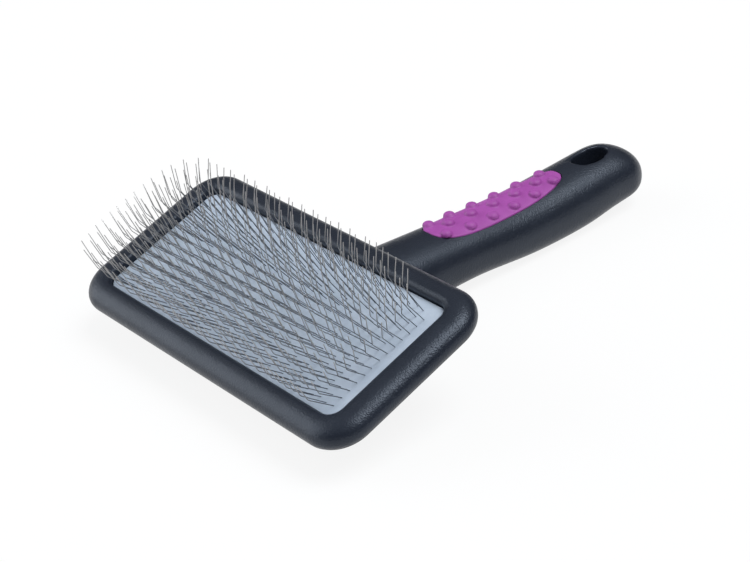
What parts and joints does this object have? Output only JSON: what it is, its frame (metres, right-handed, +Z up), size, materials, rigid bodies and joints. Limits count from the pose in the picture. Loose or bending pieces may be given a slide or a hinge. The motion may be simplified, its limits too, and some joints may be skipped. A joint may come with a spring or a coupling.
{
  "type": "slicker brush",
  "caption": "Pet slicker brush: tilted rectangular head with a cushioned pad of bent wire pins in a rolled plastic frame, and a curved handle with an inlaid nubbed grip and an oval hang hole.",
  "frame": {"origin": "bottom centre of the bounding box: under the middle of the brush, on the surface that it lies on with its pins up", "axes": "+X along the head's long side, +Y from the head towards the end of the handle, +Z up"},
  "size_m": [0.1158, 0.1608, 0.043],
  "materials": {
    "slate_plastic": "satin moulded polypropylene, slate black",
    "pad_rubber": "matte pale blue-grey rubbered cloth",
    "grey_foam": "open-cell cushion foam",
    "pin_steel": "drawn steel wire",
    "violet_elastomer": "soft violet elastomer"
  },
  "bodies": {
    "root": {"handle_body": "slate_plastic", "front_frame": "slate_plastic", "foam_cushion": "grey_foam", "pad_sheet": "pad_rubber", "soft_grip": "violet_elastomer", "pin_row_01": "pin_steel", "pin_row_02": "pin_steel", "pin_row_03": "pin_steel", "pin_row_04": "pin_steel", "pin_row_05": "pin_steel", "pin_row_06": "pin_steel", "pin_row_07": "pin_steel", "pin_row_08": "pin_steel", "pin_row_09": "pin_steel", "pin_row_10": "pin_steel", "pin_row_11": "pin_steel", "pin_row_12": "pin_steel", "pin_row_13": "pin_steel", "pin_row_14": "pin_steel"}
  },
  "joints": []
}
